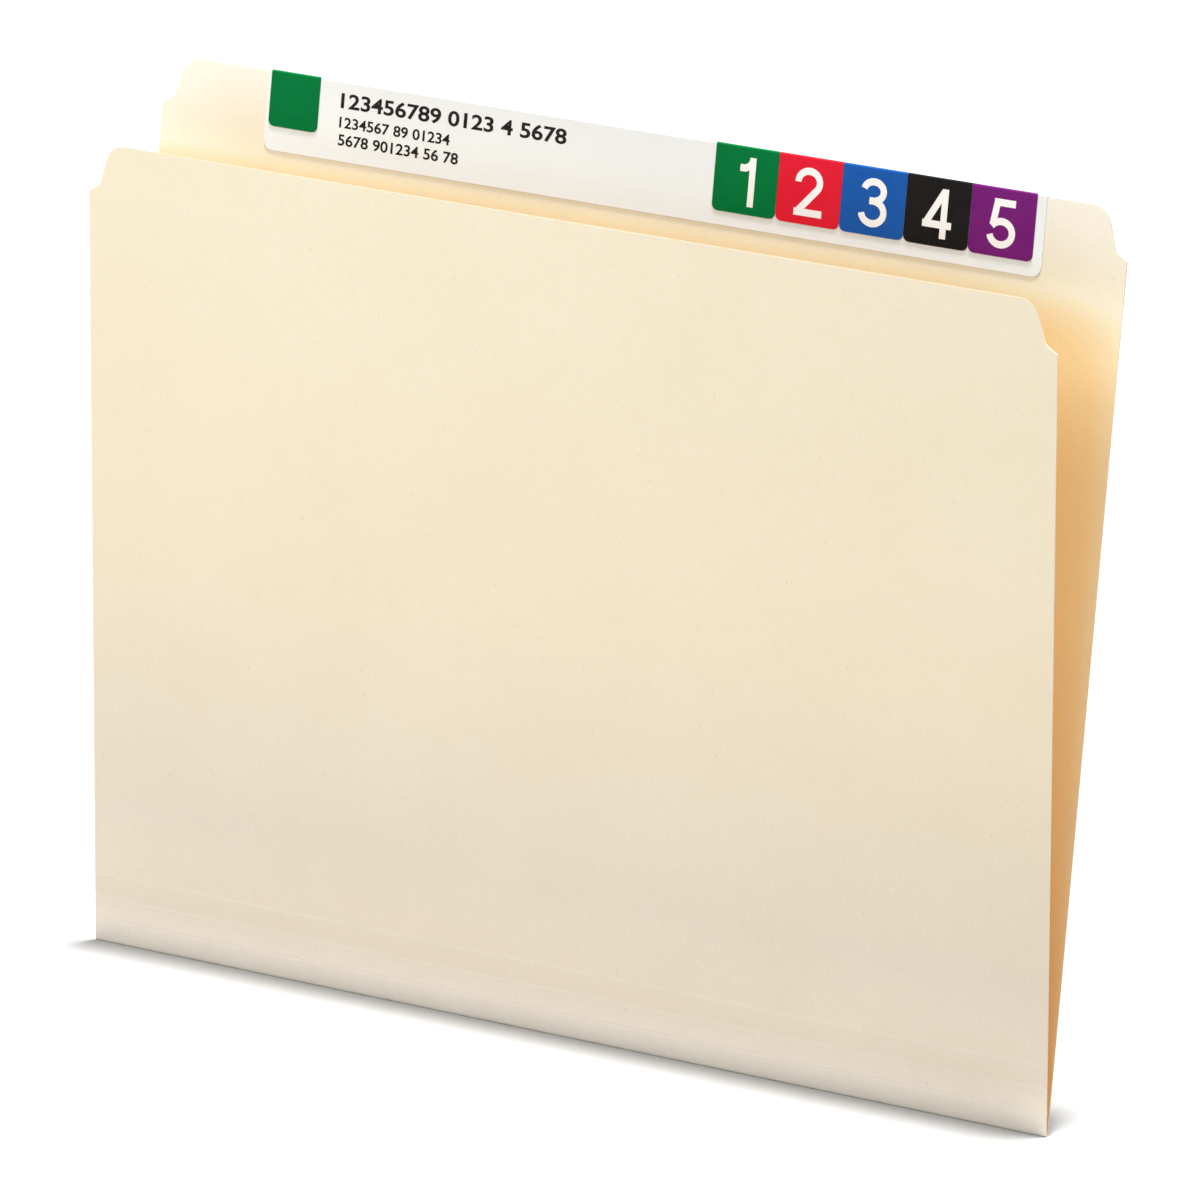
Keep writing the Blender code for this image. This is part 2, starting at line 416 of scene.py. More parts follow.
stickerLook = {
    "weight": {"size": 1 / 160, "detail": 4},
    "thinFrom": 0.35,
    "thinShare": 1.2,
    "grain": {"size": 1 / 2600, "detail": 2},
    "grainFrom": 0.58,
    "grainShare": 0.8,
    "pinHoles": {"pitch": 0.0021, "radius": 0.00007, "share": 0.5},
    "pinHoleShare": 0.25,
    "roughness": 0.42,
    "roughnessSpread": 0.15,
    "bumpStrength": 0.3,
    "grainHeight": 0.000006,
}


def makeStickerMaterial(name, colourName):
    look = stickerLook
    full, thin = (linearColour(tone) for tone in stickerColours[colourName])
    material, bench, shader, place = startMaterial(name, specular=0.06)
    weight = bench.noise(place, **look["weight"])
    grain = bench.noise(place, **look["grain"])
    pinHoles = bench.flecks(place, **look["pinHoles"])
    colour = bench.mixColours((weight - look["thinFrom"]) * look["thinShare"], full, thin)
    colour = bench.mixColours((grain - look["grainFrom"]) * look["grainShare"], colour, thin)
    colour = bench.mixColours(pinHoles * look["pinHoleShare"], colour, linearColour(labelLook["white"]))
    roughness = look["roughness"] + (weight - noiseMiddle) * look["roughnessSpread"]
    bump = {"Strength": look["bumpStrength"], "Distance": look["grainHeight"], "Height": grain}
    finishSurface(bench, shader, colour, roughness, bump)
    return material


# The ink of the figures, each with its colour and its roughness

inkLook = {
    "white": ("FBFCFB", 0.5),
    "black": ("231F20", 0.55),
    "weight": {"size": 1 / 1300, "detail": 3},
    "paperInWorn": 0.1,
    "wornFrom": 0.55,
    "wornShare": 0.8,
    "roughnessSpread": 0.1,
}


def makeInkMaterial(name, colourName):
    look = inkLook
    tone, roughness = look[colourName]
    material, bench, shader, place = startMaterial(name, specular=0.12)
    weight = bench.noise(place, **look["weight"])
    full, paper = linearColour(tone), linearColour(labelLook["white"])
    inked = 1 - look["paperInWorn"]
    worn = tuple(inked * value + look["paperInWorn"] * other for value, other in zip(full, paper))
    colour = bench.mixColours((weight - look["wornFrom"]) * look["wornShare"], full, worn)
    finishSurface(bench, shader, colour, roughness + weight * look["roughnessSpread"])
    return material


print("folder: mixing the finishes")
outerCard = makeCardMaterial("outerCard", outerShadedTone)
backInnerCard = makeCardMaterial("backInnerCard", backInnerPaintedLight)
frontInnerCard = makeCardMaterial("frontInnerCard", frontInnerPaintedLight)
pressedCard = makeCardMaterial("pressedCard", outerShadedTone, cardLook["pressedOutside"])
pressedFrontInner = makeCardMaterial("pressedFrontInner", frontInnerPaintedLight, cardLook["pressedInside"])
pressedBackInner = makeCardMaterial("pressedBackInner", backInnerPaintedLight, cardLook["pressedInside"])
cutCardEdge = makeCutEdgeMaterial("cutCardEdge")
labelPaper = makeLabelMaterial("labelPaper")
stickerFilms = {name: makeStickerMaterial("sticker" + name.capitalize(), name) for name in stickerColours}
whitePrint = makeInkMaterial("whitePrint", "white")
blackPrint = makeInkMaterial("blackPrint", "black")


# Places on the two leaves. In a leaf's own frame X runs along the fold, Y from front to back and Z up the card.

foldPoint = Vector(joints["cover_opening"]["pos_m"])
leafLean = math.radians(-joints["cover_opening"]["range_deg"][0]) / 2
frontLeaf = Matrix.Translation(foldPoint) @ Matrix.Rotation(leafLean, 4, "X")
backLeaf = Matrix.Translation(foldPoint) @ Matrix.Rotation(-leafLean, 4, "X")


# Lowest and highest corner of a CAD node, in a leaf's own frame
def boxInLeaf(node, leaf):
    toLeaf = leaf.inverted()
    points = [toLeaf @ vertex.co for vertex in cadNodes[node].data.vertices]
    low = Vector([min(point[axis] for point in points) for axis in range(3)])
    high = Vector([max(point[axis] for point in points) for axis in range(3)])
    return low, high


def newObject(name, data, *materials):
    piece = bpy.data.objects.new(name, data)
    bpy.context.scene.collection.objects.link(piece)
    for material in materials:
        data.materials.append(material)
    return piece


# The mesh of what an object shows, its doubles merged, open for more work
def openForm(shown, mergeWithin):
    seen = shown.evaluated_get(bpy.context.evaluated_depsgraph_get())
    mesh = bpy.data.meshes.new_from_object(seen)
    form = bmesh.new()
    form.from_mesh(mesh)
    bmesh.ops.remove_doubles(form, verts=form.verts, dist=mergeWithin)
    return form, mesh


def closeForm(form, mesh):
    form.to_mesh(mesh)
    form.free()
    return mesh


def onlyVerts(geometry):
    return [item for item in geometry if isinstance(item, bmesh.types.BMVert)]


def smoothBelow(mesh, degrees):
    mesh.shade_smooth()
    mesh.set_sharp_from_angle(angle=math.radians(degrees))


insideFacing = 0.6  # a face looks inwards when its normal has at least this share of that way


# Gives the faces that look into the folder their own finish; towards() tells where inwards is from a face's middle
def lineInside(mesh, towards, material):
    mesh.materials.append(material)
    for polygon in mesh.polygons:
        if polygon.normal.dot(towards(polygon.center)) > insideFacing:
            polygon.material_index = len(mesh.materials) - 1


# Inputs of a geometry tree are listed as name: socket type; the tree gives back one mesh
def startGeometryTree(name, inputs):
    tree = bpy.data.node_groups.new(name, "GeometryNodeTree")
    for inputName, kind in inputs.items():
        tree.interface.new_socket(name=inputName, in_out="INPUT", socket_type="NodeSocket" + kind)
    tree.interface.new_socket(name="Geometry", in_out="OUTPUT", socket_type="NodeSocketGeometry")
    bench = Bench(tree)
    entry = tree.nodes.new("NodeGroupInput")
    wires = {socket.name: Wire(bench, socket) for socket in entry.outputs if socket.name}
    return tree, bench, wires


def finishGeometryTree(bench, mesh, material):
    real = bench.node("GeometryNodeRealizeInstances", None, {"Geometry": mesh})
    coloured = bench.node("GeometryNodeSetMaterial", None, {"Geometry": real, "Material": material})
    bench.node("NodeGroupOutput", None, {"Geometry": coloured})


treeMergeWithin = 1e-8


# Runs a geometry tree and keeps its result as a plain mesh in the row frame
def shapeFromTree(name, tree, values, place, base=None):
    holder = newObject(name, base or bpy.data.meshes.new(name + "Base"))
    modifier = holder.modifiers.new("shape", "NODES")
    modifier.node_group = tree
    for item in tree.interface.items_tree:
        if item.in_out == "INPUT" and item.name in values:
            modifier[item.identifier] = values[item.name]
    form, mesh = openForm(holder, treeMergeWithin)
    mesh.name = name
    holder.modifiers.clear()
    bpy.data.objects.remove(holder)
    bmesh.ops.recalc_face_normals(form, faces=form.faces)
    bmesh.ops.transform(form, matrix=place, verts=form.verts)
    return closeForm(form, mesh)


# The two leaves and the strips between the scores: die-cut sheets with a slightly rounded cut rim

sheetCut = {
    "tabDepth": 0.0134,
    "shoulderRun": 0.0036,
    "shoulderRise": 0.0022,
    "tabInset": 0.0070,
    "footRadius": 0.0025,
    "crownRadius": 0.0060,
    "filletSteps": 14,
    "rimRounding": 0.00005,
    "rimSegments": 2,
    "sharpAbove": 50,
    "scoreHalfWidth": 0.00045,
}
outsideSlot, edgeSlot, insideSlot = 0, 1, 2
sameLevel = 1e-6  # two places closer than this lie at one level
flatOn = 0.9      # a sheet's two faces have at least this share of their normal across the sheet


def filletPoints(before, corner, after, radius):
    toBefore = math.atan2(before[1] - corner[1], before[0] - corner[0])
    toAfter = math.atan2(after[1] - corner[1], after[0] - corner[0])
    opening = (toAfter - toBefore + math.pi) % (2 * math.pi) - math.pi
    reach = radius / math.sin(abs(opening) / 2)
    middle = toBefore + opening / 2
    centre = (corner[0] + reach * math.cos(middle), corner[1] + reach * math.sin(middle))
    turn = math.copysign(math.pi - abs(opening), opening)
    points = []
    for step in range(sheetCut["filletSteps"] + 1):
        angle = middle + math.pi + turn / 2 - turn * step / sheetCut["filletSteps"]
        points.append((centre[0] + radius * math.cos(angle), centre[1] + radius * math.sin(angle)))
    return points


def tabbedOutline(side, bottom, top):
    cut = sheetCut
    shoulder = (side, top - cut["tabDepth"])
    foot = (side - cut["shoulderRun"], top - cut["tabDepth"] + cut["shoulderRise"])
    crown = (side - cut["tabInset"], top)
    right = [(side, bottom), shoulder]
    right += filletPoints(shoulder, foot, crown, cut["footRadius"])
    right += filletPoints(foot, crown, (0, top), cut["crownRadius"])
    return right + [(-x, height) for x, height in reversed(right)]


def plainOutline(side, bottom, top):
    return [(side, bottom), (side, top), (-side, top), (-side, bottom)]


# A flat sheet between two depths; seams are the heights where it goes on as another piece, so they stay sharp
def cutSheet(name, outline, depths, leaf, seams, outside, inside):
    form = bmesh.new()
    front, back = depths
    face = form.faces.new([form.verts.new((x, front, height)) for x, height in outline])
    grown = bmesh.ops.extrude_face_region(form, geom=[face])["geom"]
    bmesh.ops.translate(form, vec=(0, back - front, 0), verts=onlyVerts(grown))
    bmesh.ops.recalc_face_normals(form, faces=form.faces)
    rim = []
    for edge in form.edges:
        ends = [vert.co for vert in edge.verts]
        acrossSheet = abs(ends[0].y - ends[1].y) > sameLevel
        onSeam = any(all(abs(end.z - seam) < sameLevel for end in ends) for seam in seams)
        if not acrossSheet and not onSeam:
            rim.append(edge)
    bmesh.ops.bevel(form, geom=rim, offset=sheetCut["rimRounding"], segments=sheetCut["rimSegments"], profile=0.5,
                    affect="EDGES")
    innerSide = 1 if back <= 0 else -1
    for face in form.faces:
        if abs(face.normal.y) < flatOn:
            face.material_index = edgeSlot
        else:
            face.material_index = insideSlot if face.normal.y * innerSide > 0 else outsideSlot
    bmesh.ops.transform(form, matrix=leaf, verts=form.verts)
    mesh = closeForm(form, bpy.data.meshes.new(name))
    mesh.set_sharp_from_angle(angle=math.radians(sheetCut["sharpAbove"]))
    for polygon in mesh.polygons:
        polygon.use_smooth = polygon.material_index == edgeSlot
    return newObject(name, mesh, outside, cutCardEdge, inside)


print("folder: cutting the leaves")
frontHigh = boxInLeaf("front_panel", frontLeaf)[1]
backLow, backHigh = boxInLeaf("back_panel", backLeaf)
sideEdge = frontHigh.x
cardThickness = backHigh.y - backLow.y
leafOffset = (backHigh.y + backLow.y) / 2
frontDepths = (-leafOffset - cardThickness / 2, -leafOffset + cardThickness / 2)
backDepths = (leafOffset - cardThickness / 2, leafOffset + cardThickness / 2)
scoreBoxes = [boxInLeaf(f"score_crease_{number}", frontLeaf) for number in (1, 2, 3)]
scoreHeights = [(low.z + high.z) / 2 for low, high in scoreBoxes]
halfScore = sheetCut["scoreHalfWidth"]

outline = tabbedOutline(sideEdge, 0.0, backHigh.z)
backCard = cutSheet("backLeafCard", outline, backDepths, backLeaf, [0.0], outerCard, backInnerCard)
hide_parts("back_panel")
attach(backCard, "back_leaf")

frontBottom = scoreHeights[2] + halfScore
outline = tabbedOutline(sideEdge, frontBottom, frontHigh.z)
frontCard = cutSheet("frontLeafCard", outline, frontDepths, frontLeaf, [frontBottom], outerCard, frontInnerCard)
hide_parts("front_panel")
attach(frontCard, "front_leaf")

stripBottom = 0.0
for number, height in enumerate(scoreHeights, 1):
    stripTop = height - halfScore
    outline = plainOutline(sideEdge, stripBottom, stripTop)
    ends = [stripBottom, stripTop]
    strip = cutSheet(f"scoreStrip{number}", outline, frontDepths, frontLeaf, ends, outerCard, frontInnerCard)
    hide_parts(f"score_strip_{number}")
    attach(strip, "expansion_bottom")
    stripBottom = height + halfScore


# The pressed scores: the rule pushes a shallow groove into the outer face, and a ridge stands out inside

scorePress = {
    "pressDepth": 0.000065,
    "rowsUp": 19,
    "smoothBelow": 30,
}


def buildScoreTree():
    inputs = {"Width": "Float", "Thickness": "Float", "Half Width": "Float", "Press Depth": "Float",
              "Spacing": "Float", "Count": "Int", "Rows": "Int", "Material": "Material"}
    tree, bench, wires = startGeometryTree("pressedScores", inputs)
    size = bench.vector(X=wires["Width"], Y=wires["Thickness"], Z=wires["Half Width"] * 2)
    bar = bench.node("GeometryNodeMeshCube", None,
                     {"Size": size, "Vertices X": 2, "Vertices Y": 2, "Vertices Z": wires["Rows"]})
    height = bench.axis(bench.node("GeometryNodeInputPosition"), "Z")
    push = (1 + (height / wires["Half Width"] * math.pi).cosine()) * 0.5 * wires["Press Depth"]
    pressed = bench.node("GeometryNodeSetPosition", None, {"Geometry": bar, "Offset": bench.vector(Y=push)})
    step = bench.vector(Z=wires["Spacing"])
    row = bench.node("GeometryNodeMeshLine", None, {"Count": wires["Count"], "Offset": step})
    scores = bench.node("GeometryNodeInstanceOnPoints", None, {"Points": row, "Instance": pressed})
    finishGeometryTree(bench, scores, wires["Material"])
    return tree


def pressScores(name, count, firstHeight):
    values = {
        "Width": 2 * sideEdge,
        "Thickness": cardThickness,
        "Half Width": halfScore,
        "Press Depth": scorePress["pressDepth"],
        "Spacing": scoreHeights[1] - scoreHeights[0],
        "Count": count,
        "Rows": scorePress["rowsUp"],
        "Material": pressedCard,
    }
    place = frontLeaf @ Matrix.Translation((0, -leafOffset, firstHeight))
    mesh = shapeFromTree(name, scoreTree, values, place)
    smoothBelow(mesh, scorePress["smoothBelow"])
    inwards = frontLeaf.to_3x3() @ Vector((0, 1, 0))
    lineInside(mesh, lambda middle: inwards, pressedFrontInner)
    return newObject(name, mesh)


print("folder: pressing the scores")
scoreTree = buildScoreTree()
lowerScores = pressScores("lowerScores", 2, scoreHeights[0])
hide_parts("score_crease_1", "score_crease_2")
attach(lowerScores, "expansion_bottom")

hingeScore = pressScores("hingeScore", 1, scoreHeights[2])
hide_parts("score_crease_3")
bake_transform(hingeScore)


# The bottom fold: the sheet turns round the fold line, half of it on each side of the lowest point

foldShape = {
    "stepsEachSide": 14,
    "smoothBelow": 30,
}


def buildFoldTree():
    inputs = {"Width": "Float", "Thickness": "Float", "Radius": "Float", "From": "Float", "To": "Float",
              "Steps": "Int", "Material": "Material"}
    tree, bench, wires = startGeometryTree("roundFold", inputs)
    size = bench.vector(X=wires["Width"], Y=1.0, Z=1.0)
    bar = bench.node("GeometryNodeMeshCube", None,
                     {"Size": size, "Vertices X": 2, "Vertices Y": 2, "Vertices Z": wires["Steps"]})
    position = bench.node("GeometryNodeInputPosition")
    radius = wires["Radius"] + bench.axis(position, "Y") * wires["Thickness"]
    angle = wires["From"] + (bench.axis(position, "Z") + 0.5) * (wires["To"] - wires["From"])
    bent = bench.vector(X=bench.axis(position, "X"), Y=radius * angle.sine(), Z=radius * angle.cosine() * -1)
    ring = bench.node("GeometryNodeSetPosition", None, {"Geometry": bar, "Position": bent})
    finishGeometryTree(bench, ring, wires["Material"])
    return tree


# From a point of the fold, the way to the fold line that the card turns round
def towardsFoldLine(middle):
    return (Vector((middle.x, foldPoint.y, foldPoint.z)) - middle).normalized()


def foldHalf(name, fromAngle, toAngle, innerFinish):
    values = {
        "Width": 2 * sideEdge,
        "Thickness": cardThickness,
        "Radius": leafOffset,
        "From": fromAngle,
        "To": toAngle,
        "Steps": foldShape["stepsEachSide"],
        "Material": pressedCard,
    }
    mesh = shapeFromTree(name, foldTree, values, Matrix.Translation(foldPoint))
    smoothBelow(mesh, foldShape["smoothBelow"])
    lineInside(mesh, towardsFoldLine, innerFinish)
    piece = newObject(name, mesh)
    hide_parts("bottom_crease")
    return piece


print("folder: folding the bottom")
foldTree = buildFoldTree()
quarterTurn = math.pi / 2 - leafLean
frontHalf = foldHalf("foldFrontHalf", -quarterTurn, 0, pressedFrontInner)
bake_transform(frontHalf)
backHalf = foldHalf("foldBackHalf", 0, quarterTurn, pressedBackInner)
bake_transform(backHalf)


# The label strip and the colour stickers, each folded over the tab's top edge

paperWrap = {
    "thickness": 0.0001,
    "labelCorner": 0.0030,
    "stickerCorner": 0.0018,
    "labelRows": 640,
    "stickerRows": 480,
    "mergeWithin": 1e-7,
    "smoothBelow": 40,
}
stickerOrder = ("green", "red", "blue", "black", "purple")


def buildWrapTree():
    inputs = {"Length": "Float", "Drop": "Float", "Wrap Radius": "Float", "Thickness": "Float",
              "Corner Radius": "Float", "Rows": "Int", "Material": "Material"}
    tree, bench, wires = startGeometryTree("wrappedPaper", inputs)
    wrapRadius, cornerRadius = wires["Wrap Radius"], wires["Corner Radius"]
    quarter = wrapRadius * (math.pi / 2)
    reach = wires["Drop"] + quarter
    sheet = bench.node("GeometryNodeMeshGrid", None,
                       {"Size X": wires["Length"], "Size Y": reach * 2, "Vertices X": 2, "Vertices Y": wires["Rows"]})
    position = bench.node("GeometryNodeInputPosition")
    across, along = bench.axis(position, "X"), bench.axis(position, "Y")
    run = abs(along)
    angle = (run / wrapRadius).atMost(math.pi / 2)
    down = (run - quarter).atLeast(0.0)
    intoCorner = (cornerRadius - (reach - run)).atLeast(0.0)
    squared = cornerRadius * cornerRadius - intoCorner * intoCorner
    drawnIn = cornerRadius - squared.atLeast(0.0).root()
    wrapped = bench.vector(
        X=across - across.sign() * drawnIn,
        Y=along.sign() * wrapRadius * angle.sine(),
        Z=wrapRadius * angle.cosine() - down,
    )
    inner = bench.node("GeometryNodeSetPosition", None, {"Geometry": sheet, "Position": wrapped})
    outer = bench.node("GeometryNodeExtrudeMesh", {"mode": "FACES"},
                       {"Mesh": inner, "Offset Scale": wires["Thickness"], "Individual": False})
    under = bench.node("GeometryNodeFlipFaces", None, {"Mesh": inner})
    joined = bench.node("GeometryNodeJoinGeometry")
    for side in (outer, under):
        bench.tree.links.new(side.socket, joined.socket.node.inputs[0])
    closed = bench.node("GeometryNodeMergeByDistance", None,
                        {"Geometry": joined, "Distance": paperWrap["mergeWithin"]})
    finishGeometryTree(bench, closed, wires["Material"])
    return tree


def wrapPaper(name, node, corner, rows, material):
    low, high = boxInLeaf(node, backLeaf)
    values = {
        "Length": high.x - low.x,
        "Drop": backHigh.z - low.z,
        "Wrap Radius": (high.y - low.y) / 2 - paperWrap["thickness"],
        "Thickness": paperWrap["thickness"],
        "Corner Radius": corner,
        "Rows": rows,
        "Material": material,
    }
    place = backLeaf @ Matrix.Translation(((low.x + high.x) / 2, leafOffset, backHigh.z))
    mesh = shapeFromTree(name, wrapTree, values, place)
    smoothBelow(mesh, paperWrap["smoothBelow"])
    piece = newObject(name, mesh)
    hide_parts(node)
    return piece


print("folder: wrapping the label and stickers")
wrapTree = buildWrapTree()
label = wrapPaper("labelStrip", "label_strip", paperWrap["labelCorner"], paperWrap["labelRows"], labelPaper)
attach(label, "back_leaf")

blank = wrapPaper("blankSticker", "blank_sticker", paperWrap["stickerCorner"], paperWrap["stickerRows"],
                  stickerFilms["green"])
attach(blank, "back_leaf")

for number, colour in enumerate(stickerOrder, 1):
    sticker = wrapPaper(f"numberSticker{number}", f"number_sticker_{number}", paperWrap["stickerCorner"],
                        paperWrap["stickerRows"], stickerFilms[colour])
    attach(sticker, "back_leaf")


# The printed figures: plain numerals 1 to 5, drawn as strokes in a box one high

figureStyle = {
    "height": 0.0129,
    "strokeWidth": 0.145,
    "widened": 1.12,
    "inkThickness": 0.00002,
    "belowTop": 0.0023,
    "arcSteps": 28,
}


# Points of an arc of an ellipse, from one angle to another in degrees, measured anticlockwise from the right
def arc(centre, across, up, fromAngle, toAngle):
    points = []
    for step in range(figureStyle["arcSteps"] + 1):
        angle = math.radians(fromAngle + (toAngle - fromAngle) * step / figureStyle["arcSteps"])
        points.append((centre[0] + across * math.cos(angle), centre[1] + up * math.sin(angle)))
    return points


numeralStrokes = {
    1: [
        [(0.41, 0.0), (0.41, 1.0)],
        [(0.15, 0.775)] + arc((0.20, 0.975), 0.207, 0.205, -78, 4),
    ],
    2: [
        arc((0.315, 0.695), 0.225, 0.225, 183, -38) + [(0.105, 0.08)],
        [(0.035, 0.079), (0.62, 0.079)],
    ],
    3: [
        arc((0.315, 0.727), 0.205, 0.194, 168, -90),
        arc((0.315, 0.306), 0.232, 0.227, 90, -172),
        [(0.235, 0.533), (0.33, 0.533)],
    ],
    4: [
        [(0.455, 0.0), (0.455, 1.0)],
        [(0.02, 0.275), (0.62, 0.275)],
        [(0.085, 0.275), (0.446, 0.963)],
    ],
    5: [
        [(0.14, 0.921), (0.575, 0.921)],
        [(0.205, 0.93), (0.135, 0.46)],
        arc((0.315, 0.312), 0.232, 0.233, 148, -168),
    ],
}


def buildStrokeTree():
    inputs = {"Geometry": "Geometry", "Stroke Width": "Float", "Ink Thickness": "Float", "Material": "Material"}
    tree, bench, wires = startGeometryTree("penStrokes", inputs)
    level = bench.node("GeometryNodeSetCurveNormal", {"mode": "Z_UP"}, {"Curve": wires["Geometry"]})
    nib = bench.node("GeometryNodeCurvePrimitiveQuadrilateral", {"mode": "RECTANGLE"},
                     {"Width": wires["Stroke Width"], "Height": wires["Ink Thickness"]})
    strokes = bench.node("GeometryNodeCurveToMesh", None,
                         {"Curve": level, "Profile Curve": nib, "Fill Caps": True})
    united = bench.node("GeometryNodeMeshBoolean", {"operation": "UNION", "solver": "EXACT"},
                        {"Mesh 2": strokes, "Self Intersection": True}, out="Mesh")
    finishGeometryTree(bench, united, wires["Material"])
    return tree


def strokeCurve(name, strokes, height):
    curve = bpy.data.curves.new(name, "CURVE")
    curve.dimensions = "3D"
    for stroke in strokes:
        spline = curve.splines.new("POLY")
        spline.points.add(len(stroke) - 1)
        for point, (x, y) in zip(spline.points, stroke):
            point.co = (x * height * figureStyle["widened"], y * height, 0, 1)
    return curve


# On the back leaf's inner face the reader looks from the front, so the print's own up is the card's up
def onTabFace(x, height, depth):
    return backLeaf @ Matrix.Translation((x, depth, height)) @ Matrix.Rotation(math.pi / 2, 4, "X")


print("folder: printing the numerals")
strokeTree = buildStrokeTree()
figureHeight = figureStyle["height"]
for number, strokes in numeralStrokes.items():
    low, high = boxInLeaf(f"number_sticker_{number}", backLeaf)
    curve = strokeCurve(f"figure{number}Line", strokes, figureHeight)
    reach = [point[0] for stroke in strokes for point in stroke]
    middle = (min(reach) + max(reach)) / 2 * figureHeight * figureStyle["widened"]
    values = {
        "Stroke Width": figureStyle["strokeWidth"] * figureHeight,
        "Ink Thickness": figureStyle["inkThickness"],
        "Material": whitePrint,
    }
    place = onTabFace((low.x + high.x) / 2 - middle, backHigh.z - figureStyle["belowTop"] - figureHeight, low.y)
    mesh = shapeFromTree(f"figure{number}", strokeTree, values, place, base=curve)
    mesh.shade_flat()
    figure = newObject(f"figure{number}", mesh)
    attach(figure, "back_leaf")


# Three short rows of plain figures on the label, between the blank sticker and the numerals

typedRows = {
    "rows": (
        {"text": "123456789 0123 4 5678", "capHeight": 0.0042, "length": 0.0710, "belowTop": 0.0069, "boldness": 0.022},
        {"text": "1234567 89 01234", "capHeight": 0.0030, "length": 0.0350, "belowTop": 0.0121, "boldness": 0.018},
        {"text": "5678 901234 56 78", "capHeight": 0.0031, "length": 0.0380, "belowTop": 0.0168, "boldness": 0.018},
    ),
    "curveSteps": 5,
    "mergeWithin": 1e-5,
    "fromLabelStart": 0.0234,
    "inkThickness": 0.00001,
}


def typeRow(name, row, place):
    curve = bpy.data.curves.new(name, "FONT")
    curve.body = row["text"]
    curve.offset = row["boldness"]
    curve.extrude = 0.5  # the letters are one deep here, and get the ink's thickness with their size
    curve.resolution_u = typedRows["curveSteps"]
    typed = newObject(name + "Type", curve)
    form, mesh = openForm(typed, typedRows["mergeWithin"])
    bpy.data.objects.remove(typed)
    closeForm(form, mesh)
    xs = [vertex.co.x for vertex in mesh.vertices]
    ys = [vertex.co.y for vertex in mesh.vertices]
    wide, tall = max(xs) - min(xs), max(ys) - min(ys)
    scale = (row["length"] / wide, row["capHeight"] / tall, 2 * typedRows["inkThickness"])
    mesh.transform(Matrix.Diagonal((*scale, 1)) @ Matrix.Translation((-min(xs), -min(ys), 0)))
    mesh.transform(place)
    mesh.name = name
    return newObject(name, mesh, blackPrint)


print("folder: typing the label's rows")
labelLow = boxInLeaf("label_strip", backLeaf)[0]
for number, typedRow in enumerate(typedRows["rows"], 1):
    place = onTabFace(labelLow.x + typedRows["fromLabelStart"], backHigh.z - typedRow["belowTop"], labelLow.y)
    row = typeRow(f"typedRow{number}", typedRow, place)
    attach(row, "back_leaf")


# The studio: a pale floor with a white paper wall far behind it all round, a light from the front left, a weaker one
# from behind, and one from almost straight above

studio = {
    "floorSize": 24.0,
    "floorColour": "B4B4B4",
    "floorClouds": {"size": 1 / 3, "detail": 2},
    "floorCloudShare": 0.2,
    "floorRoughness": 0.9,
    "floorRoughnessSpread": 0.05,
    "wallRadius": 9.0,
    "wallHeight": 6.0,
    "wallSides": 64,
    "wallGlow": 1.0,
    "skyStrength": 0.12,
    "topStrength": 6.2,
    "topSoftness": 5.6,
    "topTiltForward": 1.45,
    "topTiltRight": 2.0,
    "topDistance": 3.0,
    "keyStrength": 9.2,
    "keySize": 0.6,
    "keyPlace": (-0.5, -0.75, 1.05),
    "backStrength": 6.5,
    "backSize": 0.6,
    "backPlace": (0.2, 1.5, 1.1),
    "aimPoint": (0, 0, 0.15),
}


def makeFloor():
    form = bmesh.new()
    bmesh.ops.create_grid(form, x_segments=1, y_segments=1, size=studio["floorSize"] / 2)
    mesh = closeForm(form, bpy.data.meshes.new("floor"))
    material, bench, shader, place = startMaterial("palePaperFloor", specular=0.0)
    tone = bench.noise(place, **studio["floorClouds"])
    colour = bench.mixColours(tone * studio["floorCloudShare"], linearColour(studio["floorColour"]), plainWhite)
    finishSurface(bench, shader, colour, studio["floorRoughness"] + tone * studio["floorRoughnessSpread"])
    floor = newObject("floor", mesh, material)


# The wall only closes the view above the floor: it gives the folder no light and takes none away
def makeWall():
    form = bmesh.new()
    bmesh.ops.create_circle(form, segments=studio["wallSides"], radius=studio["wallRadius"])
    grown = bmesh.ops.extrude_edge_only(form, edges=form.edges[:])["geom"]
    bmesh.ops.translate(form, vec=(0, 0, studio["wallHeight"]), verts=onlyVerts(grown))
    mesh = closeForm(form, bpy.data.meshes.new("paperWall"))
    material, _, shader, _ = startMaterial("whitePaperWall", specular=0.0)
    shader.inputs["Base Color"].default_value = plainBlack
    shader.inputs["Emission Color"].default_value = plainWhite
    shader.inputs["Emission Strength"].default_value = studio["wallGlow"]
    wall = newObject("paperWall", mesh, material)
    for ray in ("diffuse", "glossy", "transmission", "volume_scatter", "shadow"):
        setattr(wall, "visible_" + ray, False)


def pointAlong(lamp, direction):
    lamp.rotation_euler = direction.to_track_quat("-Z", "Y").to_euler()


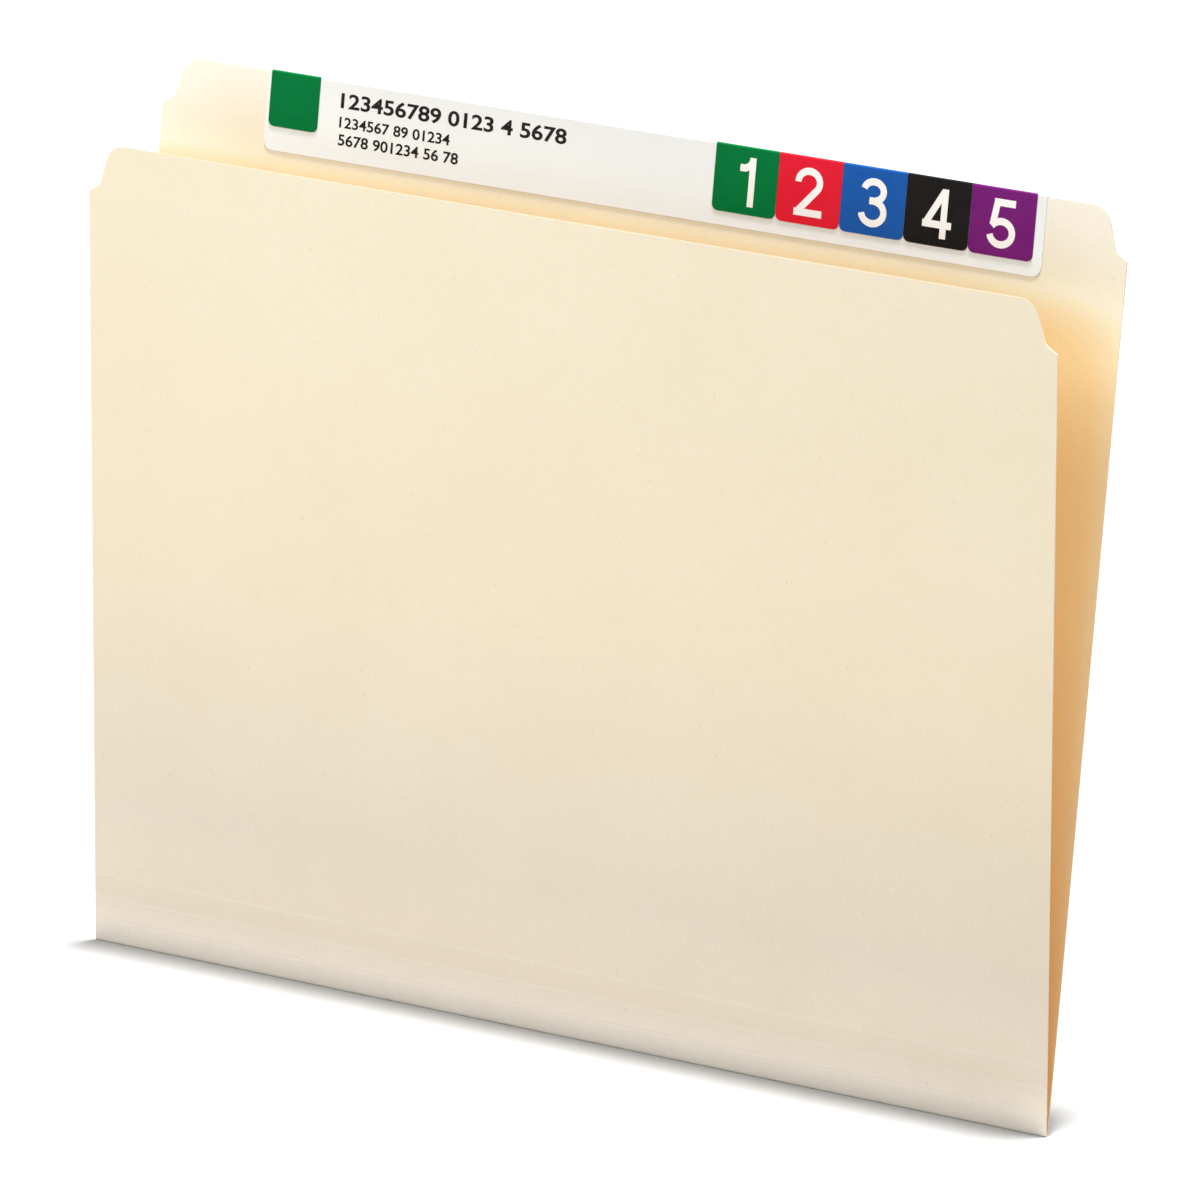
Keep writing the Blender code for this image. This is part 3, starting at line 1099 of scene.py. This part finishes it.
def makeLights():
    world = bpy.data.worlds.new("studioSky")
    world.use_nodes = True
    background = world.node_tree.nodes["Background"]
    background.inputs["Color"].default_value = plainWhite
    background.inputs["Strength"].default_value = studio["skyStrength"]
    bpy.context.scene.world = world

    top = bpy.data.lights.new("topLight", "SUN")
    top.energy = studio["topStrength"]
    top.angle = math.radians(studio["topSoftness"])
    towards = Vector((math.tan(math.radians(studio["topTiltRight"])),
                      -math.tan(math.radians(studio["topTiltForward"])), 1.0))
    lamp = newObject("topLight", top)
    lamp.location = towards * studio["topDistance"]
    pointAlong(lamp, -towards)

    for name in ("key", "back"):
        panel = bpy.data.lights.new(name + "Light", "AREA")
        panel.energy = studio[name + "Strength"]
        panel.size = studio[name + "Size"]
        lamp = newObject(name + "Light", panel)
        lamp.location = studio[name + "Place"]
        pointAlong(lamp, Vector(studio["aimPoint"]) - lamp.location)


print("folder: setting up the studio")
makeFloor()
makeWall()
makeLights()


# The camera stands where the photographer stood

photoView = {
    "azimuth": 32.099,
    "elevation": 12.940,
    "roll": 2.556,
    "distance": 3.2220,
    "lens": 370.0,
    "sensorWidth": 36.0,
    "clipStart": 0.1,
    "clipEnd": 50.0,
    "lookAt": (0.00624, -0.0008561, 0.11900),
}


def makeCamera():
    azimuth, elevation = math.radians(photoView["azimuth"]), math.radians(photoView["elevation"])
    backwards = Vector((math.sin(azimuth) * math.cos(elevation), -math.cos(azimuth) * math.cos(elevation),
                        math.sin(elevation)))
    right = Vector((math.cos(azimuth), math.sin(azimuth), 0))
    up = backwards.cross(right)
    roll = math.radians(photoView["roll"])
    tiltedRight = math.cos(roll) * right + math.sin(roll) * up
    tiltedUp = -math.sin(roll) * right + math.cos(roll) * up
    camera = newObject("photoCamera", bpy.data.cameras.new("photoCamera"))
    camera.data.lens = photoView["lens"]
    camera.data.sensor_width = photoView["sensorWidth"]
    camera.data.clip_start = photoView["clipStart"]
    camera.data.clip_end = photoView["clipEnd"]
    turn = Matrix((tiltedRight, tiltedUp, backwards)).transposed().to_4x4()
    camera.matrix_world = Matrix.Translation(Vector(photoView["lookAt"]) + photoView["distance"] * backwards) @ turn
    bpy.context.scene.camera = camera


makeCamera()
